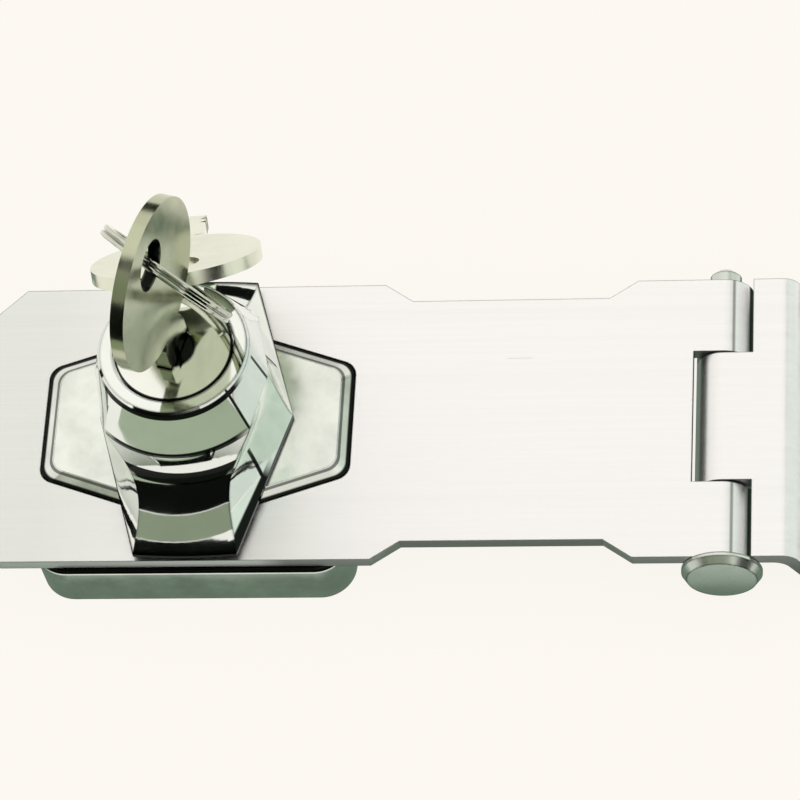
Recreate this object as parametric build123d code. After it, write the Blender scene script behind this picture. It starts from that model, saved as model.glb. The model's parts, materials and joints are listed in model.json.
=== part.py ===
"""A keyed hasp lock: a slotted steel strap on a pin hinge, held down by a turning knob with a key cylinder.

Millimetres, +Z up off the mounting face, +X from the knob's axis towards the hinge. The origin is on the
knob's axis, at the mounting face. The knob stands crosswise, so it holds the strap on the lock base.
"""

import math
import os

from build123d import *

# Clearances
running_gap = 0.08
seat_gap = 0.05
strap_gap = 0.15
slot_gap = 0.25
side_gap = 0.25
knob_gap = 0.2
end_gap = 0.1
cut_over = 1.0

# Strap and leaf, both of one sheet thickness
plate_thickness = 2.0
plate_width = 44.4
waist_inset = 2.8
shoulder_length = 4.1
waist_start_x = 25.9
waist_length = 36.6
strap_free_end_x = -31.0
strap_clip = 4.0

# Hinge
pin_x = 74.8
pin_radius = 1.95
barrel_radius = 4.0
knuckle_length = 20.4
curl_end_gap = 1.0
curl_mouth_reach = 1.0
pin_head_radius = 5.65
pin_face_radius = 4.9
pin_head_thickness = 1.6
pin_head_edge = 0.55
pin_tail_radius = 2.25
pin_tail_length = 3.2
pin_tail_shoulder = 2.4
pin_tail_end_radius = 1.35
leaf_step_x = 84.0
leaf_step_run = 4.6
leaf_end_x = 112.0
leaf_corner = 4.0
leaf_bend_radius = 2.6
leaf_hole_x = 94.0
leaf_hole_pitch_x = 12.0
leaf_hole_inset = 7.2

# Fixing holes, in the base and the leaf alike
screw_hole_radius = 2.2
screw_sink_radius = 4.2
screw_sink_depth = 1.6

# Lock base
base_length = 45.4
base_side_reach = 0.8
base_height = 8.2
base_corner = 5.0
base_edge_round = 0.7
base_wall = 2.4
base_roof = 2.4
base_hole_inset_x = 6.2
base_hole_inset_y = 5.5
base_post_radius = 4.8
rib_thickness = 1.6
rib_foot_gap = 1.2
rib_rivet_gap = 1.5
boss_length = 44.2
boss_width = 33.0
boss_end_width = 17.6
boss_rise = 0.8
boss_bevel = 1.7
boss_roof = 3.0
boss_corner = 2.4

# Spindle, riveted in the boss
rivet_radius = 6.0
rivet_thickness = 1.6
rivet_shank_radius = 4.2
spindle_radius = 3.8
spindle_head_radius = 6.5
spindle_head_thickness = 2.5
notch_width = 4.3
notch_floor_radius = 4.3
washer_thickness = 0.3
washer_margin = 0.2

# Knob
knob_height = 20.4
knob_rim = 0.6
knob_width = 28.0
knob_end_inset = 0.2
knob_end_width = 14.8
knob_top_radius = 10.7
knob_top_chamfer = 0.4
collar_height = 7.2
collar_corner = (10.3, 8.9)
collar_side = 12.3
collar_bulge = 13.3
flare_heights = (8.8, 4.8, 2.2)
flare_half_ends = (7.9, 6.5, 6.7)
flare_insets = (10.4, 7.3, 4.0)
flare_sides = (12.7, 13.2, 13.6)
flare_bulge_insets = (8.3, 6.1, 3.2)
end_bulge = 0.3
knob_plate_inset = 0.1
knob_plate_thickness = 1.5
knob_plate_width = 13.0
knob_plate_end_margin = 7.0
knob_plate_corner = 3.0
head_room_radius = 6.85
head_room_height = 9.0
plate_screw_x = 4.2
plate_screw_end_margin = 2.6
plate_screw_radius = 1.2
plate_screw_head_radius = 2.3
plate_screw_sink = 1.1
plate_screw_length = 5.5
plate_screw_tip_gap = 0.2

# Cylinder plug and its clip
plug_face_radius = 8.3
plug_face_gap = 0.25
plug_face_thickness = 2.1
plug_recess = 0.1
plug_radius = 6.0
plug_foot = 1.8
clip_groove_radius = 5.0
clip_groove_height = 0.9
clip_thickness = 0.8
clip_radius = 6.6
clip_opening = 70.0
keyway_gap = 0.15
keyway_end_gap = 0.3
key_well_radius = 3.0
key_well_depth = 1.0
crank_radius = 1.8
crank_pin_radius = 1.2
crank_pin_length = 2.2
crank_angle = 135.0
key_rest_angle = 75.0
plug_room_gap = 0.2

# Wafers
wafer_count = 4
wafer_pitch = 1.2
first_wafer_height = 5.05
wafer_thickness = 0.8
wafer_length = 10.2
wafer_width = 6.0
wafer_slot_gap = 0.05
wafer_window_gap = 0.2
lug_start = 1.5
lug_length = 1.4
lug_reach = 1.6
lug_end_gap = 0.3
spring_radius = 0.4
spring_wire = 0.15
spring_length = 4.0

# Bolt, a plate with a foot that drops into the spindle head's notch
bolt_thickness = 2.0
bolt_width = 9.0
bolt_tail = 7.4
bolt_foot_width = 4.0
bolt_foot_length = 2.2
bolt_foot_gap = 0.15
bolt_foot_lift = 0.1
bolt_slot_gap = 0.15
bolt_slot_far = 0.3
bolt_lift = 0.25
bolt_side_gap = 0.15
bolt_forward_run = 2.2
bolt_back_run = 0.45
bolt_end_gap = 0.2

# Keys and their split ring
key_thickness = 1.9
bow_radius = 12.1
bow_height = 49.2
bow_hole_radius = 3.6
bow_hole_rise = 5.0
blade_width = 6.6
blade_tip_height = 23.8
blade_tip_length = 0.9
blade_tip_width = 1.6
blade_groove_width = 1.3
blade_groove_depth = 0.4
bitting = (0.9, 0.5, 1.1, 0.6)
bitting_half_width = 0.5
neck_fillet = 2.0
ring_radius = 10.0
ring_wire_width = 1.3
ring_wire_height = 0.7
ring_wire_round = 0.23
ring_web = 0.2
ring_slit = 0.3
ring_slit_turns = (20.0, 60.0)
ring_offset = (0.6416, 5.1421, -11.1878)
ring_normal = (0.5921, 0.7282, 0.3452)
spare_offset = (-0.9665, 14.8211, -24.2089)
spare_up = (0.1232, -0.6912, 0.7121)
spare_across = (0.9877, 0.1548, -0.0206)

# Sizes that follow from the strap's width
waist_width = plate_width - 2 * waist_inset
leaf_hole_pitch_y = plate_width - 2 * leaf_hole_inset
base_width = plate_width + 2 * base_side_reach
base_hole_pitch_x = base_length - 2 * base_hole_inset_x
base_hole_pitch_y = base_width - 2 * base_hole_inset_y
knob_length = plate_width - 2 * knob_end_inset
knob_plate_length = knob_length - 2 * knob_plate_end_margin
plate_screw_y = knob_plate_length / 2 - plate_screw_end_margin

# Levels that follow from the sizes above
strap_top = base_height + strap_gap + plate_thickness
strap_bottom = strap_top - plate_thickness
pin_z = strap_top - barrel_radius
boss_top = strap_top + boss_rise
knob_bottom = boss_top + knob_gap
knob_top = knob_bottom + knob_height
collar_bottom = knob_top - collar_height
knob_plate_bottom = knob_bottom + knob_plate_inset
knob_plate_top = knob_plate_bottom + knob_plate_thickness
head_bottom = knob_plate_top + washer_thickness + end_gap
head_top = head_bottom + spindle_head_thickness
bolt_bottom = head_top + bolt_lift
bolt_top = bolt_bottom + bolt_thickness
plug_foot_z = bolt_top + bolt_lift
head_room_top = plug_foot_z + plug_foot
plug_face_z = knob_top - plug_recess
plug_shoulder_z = plug_face_z - plug_face_thickness
plug_seat_z = plug_shoulder_z - end_gap
first_wafer_z = head_room_top + first_wafer_height
wafer_heights = [first_wafer_z + wafer_pitch * i for i in range(wafer_count)]
bolt_rest_y = crank_radius * math.sin(math.radians(key_rest_angle + crank_angle))
bolt_foot_reach = spindle_head_radius + bolt_foot_gap + bolt_rest_y


def long_hexagon(length, width, end_width):
    """A hexagon stretched along X, with its two short ends across X."""
    half, side, end = length / 2, width / 2, end_width / 2
    corners = [(half, -end), (half, end), (0, side), (-half, end), (-half, -end), (0, -side)]
    return Polygon(*corners, align=None)


def raised(sketch, bottom, top):
    """The sketch as a prism between two heights."""
    return extrude(Pos(0, 0, bottom) * sketch, top - bottom, dir=(0, 0, 1))


def disc(radius, bottom, top, x=0.0, y=0.0):
    """A round prism on a vertical axis."""
    return Pos(x, y, bottom) * extrude(Circle(radius), top - bottom)


def block(x_range, y_range, z_range):
    """A box from its limits."""
    size = [high - low for low, high in (x_range, y_range, z_range)]
    middle = [(low + high) / 2 for low, high in (x_range, y_range, z_range)]
    return Pos(*middle) * Box(*size)


def sunk_hole(x, y, bottom, top):
    """The hole for one countersunk fixing screw, with its sink at the top."""
    shank = disc(screw_hole_radius, bottom, top, x, y)
    middle = top - screw_sink_depth / 2
    sink = Pos(x, y, middle) * Cone(screw_hole_radius, screw_sink_radius, screw_sink_depth)
    return shank + sink


def grid(pitch_x, pitch_y, middle_x=0.0):
    """The four corners of a hole pattern."""
    return [(middle_x + i * pitch_x / 2, j * pitch_y / 2) for i in (-1, 1) for j in (-1, 1)]


def rounded_boss_outline(margin=0.0):
    """The boss's outline in plan, grown by a margin."""
    sketch = long_hexagon(boss_length, boss_width, boss_end_width)
    if margin:
        sketch = offset(sketch, amount=margin, kind=Kind.INTERSECTION)
    return fillet(sketch.vertices(), boss_corner)


def make_lock_base():
    """The die-cast base: a hollow block with screw posts and ribs, and a bevelled boss on its top."""
    body = raised(RectangleRounded(base_length, base_width, base_corner), 0, base_height)
    body = fillet(body.faces().sort_by(Axis.Z)[-1].edges(), base_edge_round)
    roof = base_height - base_roof
    boss = raised(rounded_boss_outline(), roof, strap_top)
    lower = Pos(0, 0, strap_top) * rounded_boss_outline()
    upper = Pos(0, 0, boss_top) * rounded_boss_outline(-boss_bevel)
    cap = loft([lower, upper], ruled=True)
    room_length = base_length - 2 * base_wall
    room_width = base_width - 2 * base_wall
    room = raised(RectangleRounded(room_length, room_width, base_corner - base_wall), 0, roof)
    boss_room = raised(rounded_boss_outline(-base_wall), 0, boss_top - boss_roof)
    hollow = room + boss_room
    for x, y in grid(base_hole_pitch_x, base_hole_pitch_y):
        hollow -= disc(base_post_radius, 0, base_height, x, y)
    rib_start = rivet_radius + rib_rivet_gap
    rib_half = rib_thickness / 2
    for turn in (0, 90, 180, 270):
        rib = block((rib_start, base_width), (-rib_half, rib_half), (rib_foot_gap, boss_top))
        hollow -= Rot(0, 0, turn) * rib
    body = body + boss + cap - hollow
    body -= disc(rivet_shank_radius, 0, boss_top)
    for x, y in grid(base_hole_pitch_x, base_hole_pitch_y):
        body -= sunk_hole(x, y, 0, base_height)
    return body


def make_spindle():
    """The post riveted in the boss, with a notched head that the knob's bolt locks into."""
    rivet = disc(rivet_radius, boss_top - boss_roof - rivet_thickness, boss_top - boss_roof)
    post = rivet + disc(rivet_shank_radius, boss_top - boss_roof, boss_top)
    post += disc(spindle_radius, boss_top, head_bottom)
    head = disc(spindle_head_radius, head_bottom, head_top)
    half, reach = notch_width / 2, 2 * spindle_head_radius
    notch = block((notch_floor_radius, reach), (-half, half), (head_bottom, head_top))
    for turn in (0, -90):
        head -= Rot(0, 0, turn) * notch
    return post + head


def make_friction_washer():
    """The washer that takes up the knob's end play."""
    outer = spindle_head_radius - washer_margin
    bottom = knob_plate_top + end_gap / 2
    ring = disc(outer, bottom, bottom + washer_thickness)
    return ring - disc(spindle_radius + running_gap, bottom, bottom + washer_thickness)


def strap_outline():
    """The strap in plan: wide over the lock, waisted, and wide again at the hinge."""
    wide, waist = plate_width / 2, waist_width / 2
    waist_end_x = waist_start_x + waist_length
    edge = [
        (strap_free_end_x, wide - strap_clip),
        (strap_free_end_x + strap_clip, wide),
        (waist_start_x, wide),
        (waist_start_x + shoulder_length, waist),
        (waist_end_x - shoulder_length, waist),
        (waist_end_x, wide),
        (pin_x, wide),
    ]
    return Polygon(*edge, *[(x, -y) for x, y in reversed(edge)], align=None)


def curl(y_range):
    """A plate's end curled round the hinge pin, from the barrel's top round and back under the plate."""
    low, high = y_range
    ring = Circle(barrel_radius) - Circle(pin_radius + seat_gap)
    length = high - low
    sheet_bottom = barrel_radius - plate_thickness
    mouth_x = (-2 * barrel_radius, -curl_mouth_reach)
    mouth_z = (sheet_bottom - curl_end_gap, sheet_bottom)
    mouth = block(mouth_x, (-cut_over, length + cut_over), mouth_z)
    rolled = extrude(Plane.XZ * ring, -length) - mouth
    return Pos(pin_x, low, pin_z) * rolled


def knuckle_spans():
    """The strap's two outer knuckles, either side of the leaf's middle one."""
    inner = knuckle_length / 2 + side_gap
    outer = plate_width / 2
    return [(-outer, -inner), (inner, outer)]


def make_hasp_strap():
    """The steel strap, slotted over the boss and curled round the pin at two knuckles."""
    strap = raised(strap_outline(), strap_bottom, strap_top)
    slot = rounded_boss_outline(slot_gap)
    strap -= raised(slot, strap_bottom, strap_top)
    reach = knuckle_length / 2 + side_gap
    notch_x = pin_x - barrel_radius - side_gap
    strap -= block((notch_x, pin_x + barrel_radius), (-reach, reach), (0, 2 * strap_top))
    strap -= Pos(pin_x, 0, pin_z) * Rot(90, 0, 0) * Cylinder(pin_radius + seat_gap, 2 * plate_width)
    for span in knuckle_spans():
        strap += curl(span)
    return strap


def make_hinge_leaf():
    """The fixed leaf: a middle knuckle, then a step down to a flange with four countersunk holes."""
    start_x = pin_x + barrel_radius + strap_gap
    foot_x = leaf_step_x + leaf_step_run
    half = plate_thickness / 2
    lean = half * math.tan(math.atan2(strap_bottom, leaf_step_run) / 2)
    top = [
        (pin_x, strap_top),
        (leaf_step_x + lean, strap_top),
        (foot_x + lean, plate_thickness),
        (leaf_end_x, plate_thickness),
    ]
    under = [
        (leaf_end_x, 0),
        (foot_x - lean, 0),
        (leaf_step_x - lean, strap_bottom),
        (pin_x, strap_bottom),
    ]
    side = Polygon(*top, *under, align=None)
    near_step = (leaf_step_x - plate_thickness, foot_x + plate_thickness)
    bends = [v for v in side.vertices() if near_step[0] < v.X < near_step[1]]
    side = fillet(bends, leaf_bend_radius)
    leaf = extrude(Plane.XZ * side, plate_width / 2, both=True)
    corner_blank = RectangleRounded(2 * (leaf_end_x - pin_x), plate_width, leaf_corner)
    leaf &= Pos(pin_x, 0, -cut_over) * extrude(corner_blank, strap_top + 2 * cut_over)
    reach = knuckle_length / 2
    for sign in (-1, 1):
        span = sorted((sign * reach, sign * plate_width))
        leaf -= block((0, start_x), span, (-cut_over, 2 * strap_top))
    leaf -= Pos(pin_x, 0, pin_z) * Rot(90, 0, 0) * Cylinder(pin_radius + seat_gap, plate_width)
    knuckle = curl((-reach, reach))
    leaf += mirror(knuckle, Plane.YZ.offset(pin_x))
    middle_x = leaf_hole_x + leaf_hole_pitch_x / 2
    for x, y in grid(leaf_hole_pitch_x, leaf_hole_pitch_y, middle_x):
        leaf -= sunk_hole(x, y, 0, plate_thickness)
    return leaf


def make_hinge_pin():
    """The hinge pin, with a button head in front and a peened tail behind."""
    half = plate_width / 2
    front = half + end_gap / 2
    outline = [
        (0, -front - pin_head_thickness),
        (pin_face_radius, -front - pin_head_thickness),
        (pin_head_radius, -front - pin_head_edge),
        (pin_head_radius, -front),
        (pin_radius, -front),
        (pin_radius, front),
        (pin_tail_radius, front),
        (pin_tail_radius, front + pin_tail_shoulder),
        (pin_tail_end_radius, front + pin_tail_length),
        (0, front + pin_tail_length),
    ]
    profile = Polygon(*outline, align=None)
    return Pos(pin_x, 0, pin_z) * revolve(profile, Axis.Y)


def knob_section(height, corner, side, bulge):
    """One level of the knob: two bulged ends across Y and four flat flanks that meet at the sides."""
    x, y = corner
    edges = [
        ThreePointArc((-x, -y), (0, -bulge), (x, -y)),
        Line((x, -y), (side, 0)),
        Line((side, 0), (x, y)),
        ThreePointArc((x, y), (0, bulge), (-x, y)),
        Line((-x, y), (-side, 0)),
        Line((-side, 0), (-x, -y)),
    ]
    return Pos(0, 0, height) * make_face(edges)


def round_section(height, radius):
    """The knob's round top, split into the same six edges as the levels below it."""
    corner_angle = math.degrees(math.atan2(collar_corner[1], collar_corner[0]))
    stops = [180 + corner_angle, 360 - corner_angle, 360, 360 + corner_angle, 540 - corner_angle, 540]
    points = [(radius * math.cos(math.radians(a)), radius * math.sin(math.radians(a))) for a in stops]
    edges = []
    for i, start in enumerate(stops):
        stop = stops[(i + 1) % 6] + (360 if i == 5 else 0)
        middle = math.radians((start + stop) / 2)
        between = (radius * math.cos(middle), radius * math.sin(middle))
        edges.append(ThreePointArc(points[i], between, points[(i + 1) % 6]))
    return Pos(0, 0, height) * make_face(edges)


def knob_form():
    """The knob's outer form: a round top, a collar with creases, and flanks that flare to a long hexagon."""
    end_y = knob_length / 2
    end_corner = (knob_end_width / 2, end_y)
    rim_top = knob_bottom + knob_rim
    rim = knob_section(knob_bottom, end_corner, knob_width / 2, end_y + end_bulge)
    form = extrude(rim, knob_rim)
    levels = [knob_section(rim_top, end_corner, knob_width / 2, end_y + end_bulge)]
    shapes = list(zip(flare_heights, flare_half_ends, flare_insets, flare_sides, flare_bulge_insets))
    for height, half_end, inset, side, bulge_inset in reversed(shapes):
        corner = (half_end, end_y - inset)
        levels.append(knob_section(knob_bottom + height, corner, side, end_y - bulge_inset))
    crease = knob_section(collar_bottom, collar_corner, collar_side, collar_bulge)
    levels.append(crease)
    form += loft(levels)
    form += loft([crease, round_section(knob_top - knob_top_chamfer, knob_top_radius)], ruled=True)
    crown = Cone(knob_top_radius, knob_top_radius - knob_top_chamfer, knob_top_chamfer)
    form += Pos(0, 0, knob_top - knob_top_chamfer / 2) * crown
    return form


def plate_screw_spots():
    """Where the two screws hold the plate to the knob."""
    return [(-plate_screw_x, -plate_screw_y), (plate_screw_x, plate_screw_y)]


def make_knob_body():
    """The cast knob, bored for the plug and hollowed below for the bolt and the spindle's head."""
    knob = knob_form()
    recess_width, recess_length = knob_plate_width + 2 * seat_gap, knob_plate_length + 2 * seat_gap
    recess = RectangleRounded(recess_width, recess_length, knob_plate_corner)
    knob -= raised(recess, knob_bottom, knob_plate_top)
    knob -= disc(head_room_radius, knob_plate_top, head_room_top)
    half = bolt_width / 2 + bolt_side_gap
    low = bolt_rest_y - bolt_foot_reach - bolt_foot_length - bolt_back_run - bolt_end_gap
    high = bolt_rest_y + bolt_tail + bolt_forward_run + bolt_end_gap
    knob -= block((-half, half), (low, high), (knob_plate_top, plug_foot_z))
    knob -= disc(plug_radius + running_gap, head_room_top, plug_seat_z)
    knob -= disc(plug_face_radius + plug_face_gap, plug_seat_z, knob_top)
    for x, y in plate_screw_spots():
        knob -= disc(plate_screw_radius, knob_plate_top, knob_plate_bottom + plate_screw_length, x, y)
    return knob


def make_knob_plate():
    """The plate screwed under the knob, which traps the spindle's head."""
    outline = RectangleRounded(knob_plate_width, knob_plate_length, knob_plate_corner)
    plate = raised(outline, knob_plate_bottom, knob_plate_top)
    plate -= disc(spindle_radius + running_gap, knob_plate_bottom, knob_plate_top)
    for x, y in plate_screw_spots():
        plate -= plate_screw(x, y)
    return plate


def plate_screw(x, y):
    """One countersunk screw, head down."""
    shank_top = knob_plate_bottom + plate_screw_length - plate_screw_tip_gap
    shank = disc(plate_screw_radius, knob_plate_bottom, shank_top, x, y)
    middle = knob_plate_bottom + plate_screw_sink / 2
    head = Pos(x, y, middle) * Cone(plate_screw_head_radius, plate_screw_radius, plate_screw_sink)
    return shank + head


def make_plate_screws():
    """Both plate screws, as one group."""
    return Compound(children=[plate_screw(x, y) for x, y in plate_screw_spots()])


def turned(shape):
    """A piece of the cylinder at the key's angle at rest."""
    return Rot(0, 0, key_rest_angle) * shape


def make_plug():
    """The cylinder's plug: keyway, wafer slots with spring pockets, clip groove and a crank pin below."""
    plug = disc(plug_radius, plug_foot_z, plug_shoulder_z)
    plug += disc(plug_face_radius, plug_shoulder_z, plug_face_z)
    groove_bottom = head_room_top - plug_room_gap - clip_groove_height
    groove = disc(plug_radius + cut_over, groove_bottom, groove_bottom + clip_groove_height)
    plug -= groove - disc(clip_groove_radius, groove_bottom, groove_bottom + clip_groove_height)
    half_blade = blade_width / 2 + keyway_gap
    half_thick = key_thickness / 2 + keyway_gap
    keyway_z = (blade_tip_height - keyway_end_gap, knob_top)
    plug -= block((-half_blade, half_blade), (-half_thick, half_thick), keyway_z)
    plug -= disc(key_well_radius, plug_face_z - key_well_depth, knob_top)
    for height in wafer_heights:
        half = wafer_thickness / 2 + wafer_slot_gap
        side = wafer_width / 2 + wafer_slot_gap
        plug -= block((-plug_radius, plug_radius), (-side, side), (height - half, height + half))
        pocket = spring_radius + wafer_slot_gap
        far = lug_start + lug_length + lug_end_gap
        near = lug_start - spring_length
        outer = side + lug_reach + wafer_slot_gap
        plug -= block((near, far), (side, outer), (height - pocket, height + pocket))
    angle = math.radians(crank_angle)
    pin_x_local, pin_y_local = crank_radius * math.cos(angle), crank_radius * math.sin(angle)
    plug += disc(crank_pin_radius, plug_foot_z - crank_pin_length, plug_foot_z, pin_x_local, pin_y_local)
    return turned(plug)


def make_plug_clip():
    """The C-clip that holds the plug in the knob."""
    top = head_room_top - plug_room_gap - seat_gap
    bottom = top - clip_thickness
    ring = disc(clip_radius, bottom, top) - disc(clip_groove_radius + seat_gap, bottom, top)
    reach = 2 * clip_radius
    half = math.radians(clip_opening / 2)
    wedge = Polygon((0, 0), (reach, -reach * math.tan(half)), (reach, reach * math.tan(half)), align=None)
    return turned(ring - raised(wedge, bottom, top))


def make_wafer(index):
    """One wafer: a plate with a window for the blade and a lug for its spring."""
    height = wafer_heights[index]
    low, high = height - wafer_thickness / 2, height + wafer_thickness / 2
    half, side = wafer_length / 2, wafer_width / 2
    wafer = block((-half, half), (-side, side), (low, high))
    wafer += block((lug_start, lug_start + lug_length), (0, side + lug_reach), (low, high))
    window_x = blade_width / 2 + wafer_window_gap
    window_y = key_thickness / 2 + wafer_window_gap
    wafer -= block((-window_x, window_x), (-window_y, window_y), (low, high))
    return turned(wafer)


def make_wafer_spring(index):
    """One wafer's coil spring, as the tube that its coils fill."""
    length = spring_length - 2 * seat_gap
    tube = Cylinder(spring_radius, length) - Cylinder(spring_radius - spring_wire, length)
    middle_x = lug_start - spring_length / 2
    middle_y = wafer_width / 2 + wafer_slot_gap + lug_reach / 2
    return turned(Pos(middle_x, middle_y, wafer_heights[index]) * Rot(0, 90, 0) * tube)


def make_bolt():
    """The locking bolt: a plate with a cross slot for the crank pin and a foot for the spindle's notch."""
    half = bolt_width / 2
    front = -bolt_foot_reach - bolt_foot_length
    bolt = block((-half, half), (front, bolt_tail), (bolt_bottom, bolt_top))
    foot_half = bolt_foot_width / 2
    foot_bottom = head_bottom + bolt_foot_lift
    foot = block((-foot_half, foot_half), (front, -bolt_foot_reach), (foot_bottom, bolt_top))
    slot_half = crank_pin_radius + bolt_slot_gap
    slot_end = crank_radius + slot_half
    slot_z = (bolt_bottom - cut_over, bolt_top + cut_over)
    slot = block((-slot_end, bolt_slot_far), (-slot_half, slot_half), slot_z)
    return Pos(0, bolt_rest_y, 0) * (bolt + foot - slot)


def key_blank():
    """A key lying flat: X across the blade, Y along it at the height it has in the lock, Z through it."""
    bow = Pos(0, bow_height) * Circle(bow_radius)
    half = blade_width / 2
    edge = [(half, bow_height)]
    for height, depth in zip(reversed(wafer_heights), bitting):
        above, below = height + bitting_half_width, height - bitting_half_width
        edge += [(half, above), (half - depth, height), (half, below)]
    tip_half = blade_tip_width / 2
    tip_shoulder = blade_tip_height + blade_tip_length
    edge += [(half, tip_shoulder), (tip_half, blade_tip_height), (-tip_half, blade_tip_height)]
    edge += [(-half, tip_shoulder), (-half, bow_height)]
    flat = bow + Polygon(*edge, align=None)
    bow_foot = bow_height - bow_radius
    neck = [v for v in flat.vertices() if bow_foot < v.Y < bow_height - half]
    flat = fillet(neck, neck_fillet)
    key = extrude(flat, key_thickness / 2, both=True)
    hole = Pos(0, bow_height + bow_hole_rise) * Circle(bow_hole_radius)
    key -= extrude(hole, key_thickness, both=True)
    groove_top = bow_foot - neck_fillet
    depth = key_thickness / 2 - blade_groove_depth
    groove_y = (blade_tip_height - cut_over, groove_top)
    key -= block((-blade_groove_width, 0), groove_y, (depth, key_thickness))
    return key


def make_key():
    """The key that stands in the plug."""
    angle = math.radians(key_rest_angle)
    across = (math.cos(angle), math.sin(angle), 0)
    through = (math.sin(angle), -math.cos(angle), 0)
    return Plane(origin=(0, 0, 0), x_dir=across, z_dir=through) * key_blank()


def bow_hole_middle():
    """The middle of the standing key's hole, which the ring and the second key hang from."""
    return Vector(0, 0, bow_height + bow_hole_rise)


def make_spare_key():
    """The same key again, hanging from the ring against the back of the knob."""
    up, across = Vector(*spare_up), Vector(*spare_across)
    middle = bow_hole_middle() + Vector(*spare_offset)
    place = Plane(origin=middle, x_dir=across, z_dir=across.cross(up))
    return place * Pos(0, -bow_height, 0) * key_blank()


def make_key_ring():
    """The split ring: two turns of flat wire side by side, each with its free end."""
    step = ring_wire_height / 2 + ring_web / 2
    wire = RectangleRounded(ring_wire_width, ring_wire_height, ring_wire_round)
    turns = Pos(0, step) * wire + Pos(0, -step) * wire
    web = Rectangle(ring_wire_width / 2, 2 * step)
    section = Pos(ring_radius, 0) * (turns + web)
    ring = revolve(Plane.XZ * section, Axis.Z)
    reach = ring_radius + ring_wire_width
    for turn, side in zip(ring_slit_turns, (1, -1)):
        levels = sorted((side * ring_web / 2, side * 2 * ring_wire_height))
        slit = block((ring_radius - ring_wire_width, reach), (-ring_slit / 2, ring_slit / 2), levels)
        ring -= Rot(0, 0, turn) * slit
    middle = bow_hole_middle() + Vector(*ring_offset)
    return Plane(origin=middle, z_dir=ring_normal) * ring


def make_parts():
    """Every piece by its name."""
    parts = {
        "hinge_leaf": make_hinge_leaf(),
        "hasp_strap": make_hasp_strap(),
        "hinge_pin": make_hinge_pin(),
        "lock_base": make_lock_base(),
        "spindle": make_spindle(),
        "friction_washer": make_friction_washer(),
        "knob_body": make_knob_body(),
        "knob_plate": make_knob_plate(),
        "plate_screws": make_plate_screws(),
        "bolt": make_bolt(),
        "plug": make_plug(),
        "plug_clip": make_plug_clip(),
        "key": make_key(),
        "key_ring": make_key_ring(),
        "spare_key": make_spare_key(),
    }
    for index in range(wafer_count):
        parts[f"wafer_{index + 1}"] = make_wafer(index)
        parts[f"wafer_spring_{index + 1}"] = make_wafer_spring(index)
    return parts


os.makedirs("parts", exist_ok=True)
for name, shape in make_parts().items():
    export_step(shape, f"parts/{name}.step")
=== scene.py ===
"""A keyed hasp lock in a pale studio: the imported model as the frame, with its finishes, edges and lights."""
import json
import math

import bpy
from mathutils import Matrix, Vector

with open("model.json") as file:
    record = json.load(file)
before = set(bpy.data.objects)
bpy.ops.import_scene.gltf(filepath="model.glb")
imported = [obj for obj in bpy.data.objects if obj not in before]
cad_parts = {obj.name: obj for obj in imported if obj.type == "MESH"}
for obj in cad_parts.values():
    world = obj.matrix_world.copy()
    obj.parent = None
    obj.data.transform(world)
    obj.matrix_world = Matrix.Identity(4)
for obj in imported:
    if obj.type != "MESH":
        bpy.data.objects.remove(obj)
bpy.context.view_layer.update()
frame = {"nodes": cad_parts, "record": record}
nodes = frame["nodes"]

# Lengths are in metres and angles in degrees: +X towards the hinge, -Y the front, +Z out of the mounting face
X, Y, Z = range(3)

# Camera, fitted to the photograph: it looks down on the front, a little from the hinge's side and rolled
CAMERA_AZIMUTH = -15.2
CAMERA_ELEVATION = 60.0
CAMERA_ROLL = -14.0
CAMERA_DISTANCE = 0.568
CAMERA_TARGET = Vector((0.030, 0.0, 0.010))
CAMERA_SIDE = 0.00095
CAMERA_RISE = -0.0029
CAMERA_LENS_MM = 180.0
CAMERA_SENSOR_MM = 36.0
CAMERA_CLIP = (0.01, 50.0)

# Floor, world and lamps; a lamp has a place, a target, a width and a power in watts
FLOOR_SIZE = 3.0
FLOOR_GAP = 0.0001
FLOOR_GLOW = 0.92
FLOOR_ROUGHNESS = 0.9
BACKDROP_COLOUR = (0.992, 0.960, 0.905, 1.0)
WORLD_COLOUR = (1.0, 0.99, 0.97, 1.0)
WORLD_LIGHT = 0.8
LAMPS = [
    ("top_light", (0.05, 0.25, 0.75), (0.04, 0.0, 0.0), 0.8, 0.2),
    ("front_light", (-0.45, -0.5, 0.35), (0.0, 0.0, 0.02), 0.4, 0.1),
]

# Painted shade: the dark of lines, edges and wells, and also of the strap's scratch. An edge is where a normal
# rounded over a radius turns from the true one
PAINTED_SHADE_AND_SCRATCH = (0.012, 0.014, 0.012, 1.0)
EDGE_SAMPLES = 6
EDGE_TURN = (0.955, 0.99)
EDGE_DEPTH = 0.9
FINE_EDGE = 0.0002
SOFT_EDGE = 0.0004
WIDE_EDGE = 0.0006

# Names in _X, _Y, _Z, _TURN, _FADE and _RADII hold a fade's two ends, or a band's two ends and its soft edge

# Strap and leaf: grain and its tones, streaks, clouds, dull free end and scratch; painted shade on the
# barrels, notch, front wall and edges
STRAP_GRAIN = {"scale": 900.0, "stretch": (0.02, 1.0, 1.0), "detail": 6.0, "roughness": 0.7}
STRAP_STREAKS = {"scale": 260.0, "stretch": (0.008, 1.0, 1.0), "detail": 3.0, "roughness": 0.6}
STRAP_CLOUD = {"scale": 22.0, "detail": 3.0}
STRAP_DARK = (0.25, (0.87, 0.87, 0.88))
STRAP_PALE = (0.75, (0.975, 0.97, 0.98))
STREAK_FADE = (0.5, 0.75)
STREAK_DEPTH = 0.22
STREAK_TONE = (0.80, 0.81, 0.80, 1.0)
CLOUD_FADE = (0.4, 0.75)
CLOUD_DEPTH = 0.3
CLOUD_TONE = (0.90, 0.905, 0.90, 1.0)
DULL_X = (-0.022, 0.0)
DULL_TONE = (0.84, 0.87, 0.84, 1.0)
STRAP_ROUGHNESS = (0.32, 0.44)
STRAP_BUMP = 0.12
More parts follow.
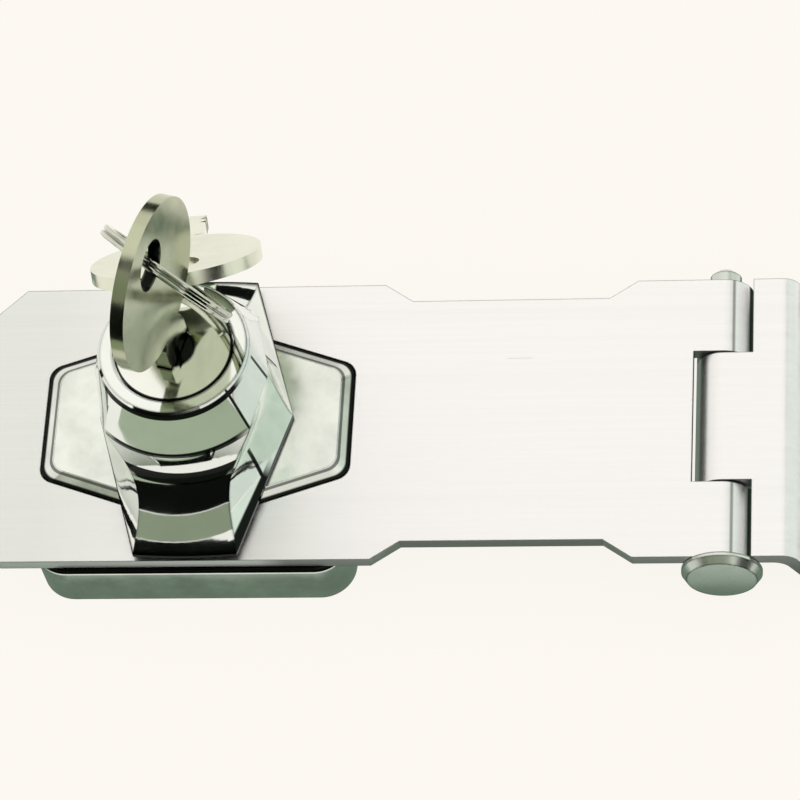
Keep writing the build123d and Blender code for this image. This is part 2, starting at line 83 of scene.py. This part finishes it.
STRAP_EDGE_DEPTH = 0.85
BARREL_BAND_X = (0.0784, 0.0790, 0.0002)
BARREL_UNDER_Z = (0.0094, 0.0099)
BARREL_LINE_X = (0.0761, 0.0763, 0.0002)
BARREL_LINE_Z = (0.0096, 0.0099)
BARREL_LINE_DEPTH = 0.6
NOTCH_X = (0.0703, 0.0707, 0.0002)
NOTCH_TURN = (0.6, 0.95)
NOTCH_DEPTH = 0.9
WALL_X = (0.010, 0.014)
WALL_TURN = (-0.95, -0.6)
WALL_DEPTH = 0.55
SCRATCH_X = (0.0443, 0.0474, 0.0006)
SCRATCH_Y = (0.0097, 0.0097, 0.00008)
SCRATCH_DEPTH = 0.35

# Plated and cast pieces: grain scale and bump strength, and the clouds that dull them
GRAIN_FADE = (0.3, 0.7)
GRAIN_DETAIL = 5.0
GRAIN_HEIGHT = 0.00008
PLATE_GRAIN = (420.0, 0.08)
KEY_GRAIN = (300.0, 0.10)
PLATE_CLOUD = {"scale": 60.0, "detail": 4.0}
PLATE_UNEVEN = 0.82

# Chrome: waves in its surface, and the haze that dulls it
CHROME_WAVES = {"scale": 45.0, "detail": 2.0}
CHROME_HAZE = {"scale": 240.0, "detail": 5.0}
HAZE_FADE = (0.35, 0.7)
CHROME_BUMP = 0.1
CHROME_HEIGHT = 0.0006
CHROME_UNEVEN = 0.94
BASE_UNEVEN = 0.80

# Knob: painted shade and reflection lines by height and where they run, painted shade in the creases on the
# hinge's side, painted edge shade paler on the other
FOOT_Z = (0.0110, 0.0120, 0.0002)
FLANK_FOOT_Z = (0.0110, 0.0127, 0.0002)
FLANK_FRONT_Y = (-0.010, -0.007)
COLLAR_Z = (0.0240, 0.0249, 0.00015)
COLLAR_FRONT_Y = (-0.0105, -0.0085)
CROWN_Z = (0.0307, 0.0314, 0.0001)
CROWN_FRONT_Y = (-0.006, -0.004)
FRONT_BAND_Z = (0.0185, 0.0203, 0.0001)
FRONT_TURN = (-0.84, -0.80)
HINGE_TURN = (0.25, 0.35)
CREASE_RADII = (0.00016, 0.00030)
CREASE_SOFT = 0.0003
FRONT_CREASE = ((0.0081, -0.0070, 0.03135), (0.0103, -0.0089, 0.02455))
SIDE_CREASE = ((0.0108, -0.0009, 0.0304), (0.0121, -0.0008, 0.0243))
FLANK_CREASE = ((0.0091, -0.0088, 0.0177), (0.0098, -0.0094, 0.0144), (0.0108, -0.0109, 0.0121))
FLANK_CREASE_Y = (-0.0085, -0.0080)
FLANK_CREASE_RADII = (0.00020, 0.00034)
FLANK_CREASE_SOFT = 0.0002
SIDE_X = (-0.007, -0.003)
SIDE_PALE = 0.5

# Plug, key and base: painted shade in the well and on the rim of the plug's face, in the hole in the key's
# bow, in lines round the boss
PLUG_FACE = (0.0, 0.0, 0.03165)
PLUG_RIM_RADII = (0.00795, 0.00810)
WELL_Z = (0.0310, 0.0314)
KEY_HOLE = (0.0, 0.0, 0.0542)
KEY_HOLE_RADII = (0.00365, 0.00385)
BOSS_FOOT_Z = (0.0102, 0.0105, 0.0001)
BEVEL_TOP_Z = (0.01092, 0.01106, 0.00004)
BEVEL_TOP_DEPTH = 0.75
LEDGE_Z = (0.0079, 0.0083, 0.0001)

# Cards that only reflections see: azimuths from the front towards the hinge, elevations or distances, colour
CARD_CENTRE = Vector((0.0, 0.0, 0.025))
CARD_DISTANCE = 0.6
CARD_STEP = 6.0
BLACK = (0.004, 0.005, 0.004)
GREY_GREEN = (0.27, 0.31, 0.22)
LIGHT_GREEN = (0.39, 0.45, 0.33)
PALE_GREEN = (0.77, 0.85, 0.77)
SKY_CARDS = [
    ("front_dark", (-52.0, 28.0), (-2.5, 31.0), BLACK),
    ("side_dark", (28.0, 76.0), (-2.5, 24.0), BLACK),
    ("front_grey", (-62.0, 38.0), (32.0, 62.0), GREY_GREEN),
    ("camera_dark", (-95.0, -12.0), (63.0, 84.0), BLACK),
    ("right_pale", (80.0, 128.0), (-2.0, 60.0), PALE_GREEN),
    ("left_dark", (-112.0, -96.0), (-2.0, 9.0), BLACK),
    ("hinge_grey", (129.0, 143.0), (36.0, 50.0), GREY_GREEN),
    ("back_dark", (-182.0, -163.0), (0.5, 20.0), BLACK),
]
FLOOR_CARDS = [
    ("floor_grey", (-62.0, 58.0), (0.069, 0.125), LIGHT_GREEN),
    ("floor_dark", (-52.0, 76.0), (0.125, 0.6), BLACK),
]

# Strips of floor that the front walls show, lighter farther out: X and Y ranges, colour
SHADE_CARDS = [
    ("shade_near", (-0.05, 0.10), (-0.0265, 0.031), (0.16, 0.21, 0.16)),
    ("shade_far", (-0.05, 0.10), (-0.0315, -0.0265), (0.36, 0.42, 0.36)),
]


def camera_axes():
    """The camera's right, up and forward directions."""
    angles = (CAMERA_AZIMUTH, CAMERA_ELEVATION, CAMERA_ROLL)
    azimuth, elevation, roll = (math.radians(angle) for angle in angles)
    flat = math.cos(elevation)
    forward = Vector((math.sin(azimuth) * flat, math.cos(azimuth) * flat, -math.sin(elevation)))
    level = Vector((math.cos(azimuth), -math.sin(azimuth), 0.0))
    above = level.cross(forward)
    right = math.cos(roll) * level + math.sin(roll) * above
    up = -math.sin(roll) * level + math.cos(roll) * above
    return right, up, forward


def add_camera():
    """The photograph's camera."""
    right, up, forward = camera_axes()
    place = CAMERA_TARGET - CAMERA_DISTANCE * forward - CAMERA_SIDE * right - CAMERA_RISE * up
    data = bpy.data.cameras.new("camera")
    data.sensor_width = CAMERA_SENSOR_MM
    data.lens = CAMERA_LENS_MM
    data.clip_start, data.clip_end = CAMERA_CLIP
    camera = bpy.data.objects.new("camera", data)
    turn = Matrix((right, up, -forward)).transposed().to_4x4()
    camera.matrix_world = Matrix.Translation(place) @ turn
    bpy.context.collection.objects.link(camera)
    bpy.context.scene.camera = camera


class Shader:
    """A material's node tree, with short calls for the nodes used here. A value is a number or a socket."""

    def __init__(self, name, kind="ShaderNodeBsdfPrincipled"):
        self.material = bpy.data.materials.new(name)
        self.material.use_nodes = True
        self.tree = self.material.node_tree
        self.tree.nodes.clear()
        self.output = self.add("ShaderNodeOutputMaterial")
        self.surface = self.add(kind)
        self.put(self.output.inputs["Surface"], self.surface.outputs[0])
        coordinates = self.add("ShaderNodeTexCoord")
        self.place = coordinates.outputs["Object"]
        self.turned = coordinates.outputs["Normal"]

    def add(self, kind, **settings):
        """A new node."""
        node = self.tree.nodes.new(kind)
        for key, value in settings.items():
            setattr(node, key, value)
        return node

    def put(self, socket, value):
        """An input linked to another node's output, or set to a number, colour or vector."""
        if isinstance(value, bpy.types.NodeSocket):
            self.tree.links.new(value, socket)
        else:
            socket.default_value = value

    def put_all(self, node, **values):
        """Inputs by their names, with spaces written as underscores."""
        for name, value in values.items():
            self.put(node.inputs[name.replace("_", " ")], value)

    def maths(self, operation, *values, kind="ShaderNodeMath", result="Value"):
        """A Math node's result."""
        node = self.add(kind, operation=operation)
        for socket, value in zip(node.inputs, values):
            self.put(socket, value)
        return node.outputs[result]

    def vector(self, operation, *values, result="Value"):
        """A Vector Math node's result: its value, or its vector where asked."""
        return self.maths(operation, *values, kind="ShaderNodeVectorMath", result=result)

    def times(self, first, *others):
        """The product of values."""
        for value in others:
            first = self.maths("MULTIPLY", first, value)
        return first

    def most(self, first, *others):
        """The largest of values."""
        for value in others:
            first = self.maths("MAXIMUM", first, value)
        return first

    def noise(self, scale, detail, roughness=0.55, stretch=(1.0, 1.0, 1.0)):
        """A noise from 0 to 1 in the object's own coordinates, its scale in cycles to the metre."""
        mapping = self.add("ShaderNodeMapping")
        self.put_all(mapping, Vector=self.place, Scale=stretch)
        node = self.add("ShaderNodeTexNoise")
        self.put_all(node, Vector=mapping.outputs[0], Scale=scale, Detail=detail, Roughness=roughness)
        return node.outputs["Fac"]

    def ramp(self, value, *stops):
        """A colour ramp over a value, between two stops with a position and a colour."""
        node = self.add("ShaderNodeValToRGB")
        for element, (position, colour) in zip(node.color_ramp.elements, stops):
            element.position = position
            element.color = (*colour, 1.0)
        self.put(node.inputs["Fac"], value)
        return node.outputs["Color"]

    def span(self, value, low, high, start, end):
        """A value mapped from start..end to low..high."""
        node = self.add("ShaderNodeMapRange")
        self.put_all(node, Value=value, From_Min=start, From_Max=end, To_Min=low, To_Max=high)
        return node.outputs["Result"]

    def rise(self, value, start, end, depth=1.0):
        """0 up to a start value, rising to a depth at an end value."""
        return self.span(value, 0.0, depth, start, end)

    def fall(self, value, start, end):
        """1 up to a start value, falling to 0 at an end value."""
        return self.span(value, 1.0, 0.0, start, end)

    def band(self, value, low, high, soft):
        """1 where a value lies from low to high, fading to 0 over a soft edge."""
        return self.times(self.rise(value, low - soft, low), self.fall(value, high, high + soft))

    def tint(self, tone, factor, colour, kind="MIX"):
        """A tone mixed with a colour by a factor."""
        node = self.add("ShaderNodeMix", data_type="RGBA", blend_type=kind)
        for index, value in ((0, factor), (6, tone), (7, colour)):
            self.put(node.inputs[index], value)
        return node.outputs[2]

    def along(self, axis):
        """One of the object's own coordinates."""
        node = self.add("ShaderNodeSeparateXYZ")
        self.put(node.inputs[0], self.place)
        return node.outputs[axis]

    def facing(self, axis):
        """One part of the surface's direction in the object's own axes."""
        node = self.add("ShaderNodeSeparateXYZ")
        self.put(node.inputs[0], self.turned)
        return node.outputs[axis]

    def edges(self, radius, depth=EDGE_DEPTH):
        """A depth of painted shade on sharp edges, standing for their dark reflections, where a normal rounded
        over a radius turns from the true one.
        """
        rounded = self.add("ShaderNodeBevel", samples=EDGE_SAMPLES)
        self.put_all(rounded, Radius=radius)
        plain = self.add("ShaderNodeNewGeometry")
        turn = self.vector("DOT_PRODUCT", rounded.outputs["Normal"], plain.outputs["Normal"])
        return self.times(self.fall(turn, *EDGE_TURN), depth)

    def distance(self, point):
        """The distance from a point."""
        return self.vector("DISTANCE", self.place, point)

    def offset(self, point):
        """The vector from a point."""
        return self.vector("SUBTRACT", self.place, point, result="Vector")

    def beside(self, start, end, inner, outer):
        """1 up to an inner distance from a straight line, fading to 0 at an outer one."""
        along = (Vector(end) - Vector(start)).normalized()
        across = self.vector("CROSS_PRODUCT", self.offset(start), along, result="Vector")
        return self.fall(self.vector("LENGTH", across), inner, outer)

    def through(self, points, inner, outer):
        """1 up to an inner distance from the plane through three points, fading to 0 at an outer one."""
        first, second, third = (Vector(point) for point in points)
        normal = (second - first).cross(third - first).normalized()
        away = self.maths("ABSOLUTE", self.vector("DOT_PRODUCT", self.offset(first), normal))
        return self.fall(away, inner, outer)

    def metal(self, colour, roughness, height, strength, distance):
        """A metal surface with its colour, roughness and bump."""
        bump = self.add("ShaderNodeBump")
        self.put_all(bump, Height=height, Strength=strength, Distance=distance)
        self.put_all(self.surface, Base_Color=colour, Metallic=1.0, Roughness=roughness,
                     Normal=bump.outputs["Normal"])
        return self.material


def strap_steel(name, barrels):
    """Satin steel with its grain along the strap, duller towards the free end, with a few handling marks,
    painted edge shade and a painted dark reflection on the front wall.

    The strap has painted shade lines along its own barrels and its notch, and the leaf has none.
    """
    shader = Shader(name)
    grain = shader.noise(**STRAP_GRAIN)
    along, height = shader.along(X), shader.along(Z)
    tone = shader.ramp(grain, STRAP_DARK, STRAP_PALE)
    streaks = shader.rise(shader.noise(**STRAP_STREAKS), *STREAK_FADE, STREAK_DEPTH)
    tone = shader.tint(tone, streaks, STREAK_TONE)
    cloud = shader.rise(shader.noise(**STRAP_CLOUD), *CLOUD_FADE, CLOUD_DEPTH)
    tone = shader.tint(tone, cloud, CLOUD_TONE)
    tone = shader.tint(tone, shader.fall(along, *DULL_X), DULL_TONE, "MULTIPLY")
    front = shader.fall(shader.facing(Y), *WALL_TURN)
    lines = [
        shader.edges(FINE_EDGE, STRAP_EDGE_DEPTH),
        # The front wall's darkening is a painted dark reflection of the floor in front of it
        shader.times(shader.rise(along, *WALL_X, WALL_DEPTH), front),
        shader.times(shader.band(along, *SCRATCH_X), shader.band(shader.along(Y), *SCRATCH_Y), SCRATCH_DEPTH),
    ]
    if barrels:
        hinge = shader.rise(shader.facing(X), *NOTCH_TURN, NOTCH_DEPTH)
        upper = shader.rise(height, *BARREL_LINE_Z, BARREL_LINE_DEPTH)
        # Painted shade in the gaps beside the barrels and at the notch, and a painted dark reflection line
        # along a barrel
        lines += [
            shader.times(shader.band(along, *BARREL_BAND_X), shader.fall(height, *BARREL_UNDER_Z)),
            shader.times(shader.band(along, *BARREL_LINE_X), upper),
            shader.times(shader.band(along, *NOTCH_X), hinge),
        ]
    tone = shader.tint(tone, shader.most(*lines), PAINTED_SHADE_AND_SCRATCH)
    roughness = shader.span(grain, *STRAP_ROUGHNESS, *GRAIN_FADE)
    return shader.metal(tone, roughness, grain, STRAP_BUMP, GRAIN_HEIGHT)


def uneven_tone(shader, cloud, colour, uneven):
    """A colour, darker by a factor where a cloud's value is low."""
    low, high = GRAIN_FADE
    return shader.ramp(cloud, (low, tuple(part * uneven for part in colour)), (high, colour))


def plated(name, colour, roughness, grit=PLATE_GRAIN, edge=None, shade=None):
    """A plated or cast metal with fine grain and cloudy wear, with painted shade on its edges or where a shade
    asks.
    """
    shader = Shader(name)
    scale, strength = grit
    grain = shader.noise(scale, GRAIN_DETAIL)
    tone = uneven_tone(shader, shader.noise(**PLATE_CLOUD), colour, PLATE_UNEVEN)
    if edge:
        tone = shader.tint(tone, shader.edges(edge), PAINTED_SHADE_AND_SCRATCH)
    if shade:
        tone = shader.tint(tone, shade(shader), PAINTED_SHADE_AND_SCRATCH)
    roughness = shader.span(grain, *roughness, *GRAIN_FADE)
    return shader.metal(tone, roughness, grain, strength, GRAIN_HEIGHT)


def chrome(name, colour, roughness, edge, shade=None, side=None, uneven=CHROME_UNEVEN):
    """Bright chrome, a little uneven, with painted shade where a shade asks and on its edges, by as much as a
    side asks.
    """
    shader = Shader(name)
    haze = shader.noise(**CHROME_HAZE)
    dark = shader.edges(edge)
    if side:
        dark = shader.times(dark, side(shader))
    if shade:
        dark = shader.most(dark, shade(shader))
    tone = shader.tint(uneven_tone(shader, haze, colour, uneven), dark, PAINTED_SHADE_AND_SCRATCH)
    roughness = shader.span(haze, *roughness, *HAZE_FADE)
    return shader.metal(tone, roughness, shader.noise(**CHROME_WAVES), CHROME_BUMP, CHROME_HEIGHT)


def knob_shade(shader):
    """The knob's lines of painted shade and reflection: foot, collar, crown, front hollow's top and the
    creases on the hinge's side.
    """
    height, inward = shader.along(Z), shader.along(Y)
    to_hinge = shader.rise(shader.facing(X), *HINGE_TURN)
    to_front = shader.fall(shader.facing(Y), *FRONT_TURN)
    flank_front = shader.fall(inward, *FLANK_FRONT_Y)
    flank_foot = shader.times(shader.band(height, *FLANK_FOOT_Z), to_hinge, flank_front)
    collar = shader.times(shader.band(height, *COLLAR_Z), shader.fall(inward, *COLLAR_FRONT_Y))
    crown = shader.times(shader.band(height, *CROWN_Z), shader.fall(inward, *CROWN_FRONT_Y))
    front_end = FRONT_CREASE[1][Z]
    front_crease = shader.times(
        shader.beside(*FRONT_CREASE, *CREASE_RADII),
        shader.rise(height, front_end - CREASE_SOFT, front_end),
    )
    side_crease = shader.times(
        shader.beside(*SIDE_CREASE, *CREASE_RADII),
        shader.band(height, SIDE_CREASE[1][Z], SIDE_CREASE[0][Z], CREASE_SOFT),
    )
    flank_crease = shader.times(
        shader.through(FLANK_CREASE, *FLANK_CREASE_RADII),
        to_hinge,
        shader.fall(inward, *FLANK_CREASE_Y),
        shader.band(height, FLANK_CREASE[2][Z], FLANK_CREASE[0][Z], FLANK_CREASE_SOFT),
    )
    # A painted dark reflection band across the top of the front's hollow
    front_band = shader.times(shader.band(height, *FRONT_BAND_Z), to_front)
    foot = shader.band(height, *FOOT_Z)
    return shader.most(foot, flank_foot, collar, crown, front_crease, side_crease, flank_crease, front_band)


def knob_side(shader):
    """The knob's painted edge shade is darkest on the hinge's side and pale on the other."""
    return shader.span(shader.along(X), SIDE_PALE, 1.0, *SIDE_X)


def key_shade(shader):
    """Painted shade inside the hole in the key's bow."""
    return shader.fall(shader.distance(KEY_HOLE), *KEY_HOLE_RADII)


def plug_shade(shader):
    """Painted shade in the key well and the keyway below the plug's face, and a painted dark rim round it."""
    well = shader.fall(shader.along(Z), *WELL_Z)
    return shader.most(well, shader.rise(shader.distance(PLUG_FACE), *PLUG_RIM_RADII))


def boss_shade(shader):
    """Painted shade lines at the foot and the top of the boss's bevel and on the base's ledge under the strap.
    """
    height = shader.along(Z)
    bevel_top = shader.times(shader.band(height, *BEVEL_TOP_Z), BEVEL_TOP_DEPTH)
    return shader.most(shader.band(height, *BOSS_FOOT_Z), bevel_top, shader.band(height, *LEDGE_Z))


def paint_nodes():
    """Each node's finish: its own where it has one, or else its slot's. The pairs are ranges of roughness."""
    finishes = {
        "strap_steel": strap_steel("strap_steel", True),
        "pin_steel": plated("pin_steel", (0.80, 0.86, 0.80), (0.24, 0.34), edge=SOFT_EDGE),
        "base_cast": chrome(
            "base_cast", (0.84, 0.88, 0.83), (0.14, 0.26), SOFT_EDGE, boss_shade, uneven=BASE_UNEVEN),
        "knob_chrome": chrome(
            "knob_chrome", (0.86, 0.90, 0.86), (0.04, 0.09), WIDE_EDGE, knob_shade, knob_side),
        "ring_chrome": chrome("ring_chrome", (0.74, 0.76, 0.66), (0.08, 0.14), SOFT_EDGE),
        "key_nickel": plated("key_nickel", (0.78, 0.80, 0.62), (0.16, 0.26), KEY_GRAIN),
        "plain_steel": plated("plain_steel", (0.60, 0.60, 0.58), (0.30, 0.42)),
        "wafer_brass": plated("wafer_brass", (0.78, 0.64, 0.36), (0.28, 0.40)),
    }
    own = {
        "hinge_leaf": strap_steel("leaf_steel", False),
        "plug": chrome("plug_chrome", (0.86, 0.89, 0.83), (0.06, 0.12), WIDE_EDGE, plug_shade),
        # The key in the lock has a darker copy of the keys' nickel, painted shade for the darker things it
        # reflects
        "key": plated("key_shaded_copy", (0.54, 0.57, 0.41), (0.14, 0.24), KEY_GRAIN, shade=key_shade),
        "spare_key": plated("key_bright", (0.86, 0.89, 0.74), (0.16, 0.26), KEY_GRAIN),
    }
    for entry in frame["record"]["subparts"]:
        finish = own.get(entry["node"], finishes[entry["material_slot"]])
        for slot in nodes[entry["node"]].material_slots:
            slot.material = finish


def seen_blend(tree, plain, seen, output, depth):
    """A plain shader, with another in its place by a depth for camera, glossy and transmission rays."""
    rays = tree.nodes.new("ShaderNodeLightPath")
    total = rays.outputs["Is Camera Ray"]
    for operation, value in (
        ("MAXIMUM", rays.outputs["Is Glossy Ray"]),
        ("MAXIMUM", rays.outputs["Is Transmission Ray"]),
        ("MULTIPLY", depth),
    ):
        node = tree.nodes.new("ShaderNodeMath")
        node.operation = operation
        tree.links.new(total, node.inputs[0])
        if isinstance(value, float):
            node.inputs[1].default_value = value
        else:
            tree.links.new(value, node.inputs[1])
        total = node.outputs[0]
    blend = tree.nodes.new("ShaderNodeMixShader")
    tree.links.new(total, blend.inputs["Fac"])
    tree.links.new(plain.outputs[0], blend.inputs[1])
    tree.links.new(seen.outputs[0], blend.inputs[2])
    tree.links.new(blend.outputs[0], output.inputs["Surface"])


def add_world():
    """A pale world: the backdrop's colour to the camera and in reflections, a softer light elsewhere."""
    world = bpy.data.worlds.new("world")
    bpy.context.scene.world = world
    world.use_nodes = True
    tree = world.node_tree
    tree.nodes.clear()
    output = tree.nodes.new("ShaderNodeOutputWorld")
    backdrop = tree.nodes.new("ShaderNodeBackground")
    backdrop.inputs["Color"].default_value = BACKDROP_COLOUR
    light = tree.nodes.new("ShaderNodeBackground")
    light.inputs["Color"].default_value = WORLD_COLOUR
    light.inputs["Strength"].default_value = WORLD_LIGHT
    seen_blend(tree, light, backdrop, output, 1.0)


def add_floor():
    """The pale floor at the mounting face, which keeps a soft shadow."""
    mesh = bpy.data.meshes.new("floor")
    half = FLOOR_SIZE / 2
    corners = [(-half, -half, 0), (half, -half, 0), (half, half, 0), (-half, half, 0)]
    mesh.from_pydata(corners, [], [(0, 1, 2, 3)])
    floor = bpy.data.objects.new("floor", mesh)
    bpy.context.collection.objects.link(floor)
    floor.location.z = -FLOOR_GAP
    shader = Shader("floor")
    shader.put_all(shader.surface, Base_Color=BACKDROP_COLOUR, Roughness=FLOOR_ROUGHNESS)
    glow = shader.add("ShaderNodeEmission")
    shader.put_all(glow, Color=BACKDROP_COLOUR)
    seen_blend(shader.tree, shader.surface, glow, shader.output, FLOOR_GLOW)
    mesh.materials.append(shader.material)


def add_lamps():
    """A large soft lamp above and behind, and a weaker one in front."""
    for name, place, target, size, power in LAMPS:
        data = bpy.data.lights.new(name, "AREA")
        data.shape = "RECTANGLE"
        data.size = data.size_y = size
        data.energy = power
        lamp = bpy.data.objects.new(name, data)
        lamp.location = place
        lamp.rotation_euler = (Vector(target) - Vector(place)).to_track_quat("-Z", "Y").to_euler()
        bpy.context.collection.objects.link(lamp)


def toward(azimuth, elevation, distance):
    """A point seen from the knob, with its azimuth turned from the front towards the hinge."""
    turn, lift = math.radians(azimuth), math.radians(elevation)
    flat = math.cos(lift)
    return CARD_CENTRE + distance * Vector((math.sin(turn) * flat, -math.cos(turn) * flat, math.sin(lift)))


def steps(start, end):
    """Even angles from start to end, both included."""
    count = max(1, math.ceil((end - start) / CARD_STEP))
    return [start + (end - start) * i / count for i in range(count + 1)]


def studio_card(name, rows, colour):
    """A card through rows of points, which only reflections see."""
    mesh = bpy.data.meshes.new(name)
    width = len(rows[0])
    starts = [i * width + j for i in range(len(rows) - 1) for j in range(width - 1)]
    faces = [(start, start + 1, start + width + 1, start + width) for start in starts]
    mesh.from_pydata([point for row in rows for point in row], [], faces)
    card = bpy.data.objects.new(name, mesh)
    bpy.context.collection.objects.link(card)
    for ray in ("camera", "diffuse", "shadow", "transmission", "volume_scatter"):
        setattr(card, f"visible_{ray}", False)
    shader = Shader(name, "ShaderNodeEmission")
    shader.put_all(shader.surface, Color=(*colour, 1.0))
    mesh.materials.append(shader.material)


def add_cards():
    """The studio that the chrome shows: dark in front, grey-green above it, and dark round the camera."""
    for name, azimuths, elevations, colour in SKY_CARDS:
        rows = [[toward(a, e, CARD_DISTANCE) for a in steps(*azimuths)] for e in steps(*elevations)]
        studio_card(name, rows, colour)
    for name, azimuths, distances, colour in FLOOR_CARDS:
        rows = [[toward(a, 0.0, distance).xy for a in steps(*azimuths)] for distance in distances]
        studio_card(name, [[Vector((*point, FLOOR_GAP)) for point in row] for row in rows], colour)
    for name, span_x, span_y, colour in SHADE_CARDS:
        studio_card(name, [[Vector((x, y, FLOOR_GAP)) for x in span_x] for y in span_y], colour)


paint_nodes()
add_world()
add_floor()
add_lamps()
add_cards()
add_camera()
bpy.context.scene.view_settings.view_transform = "Standard"
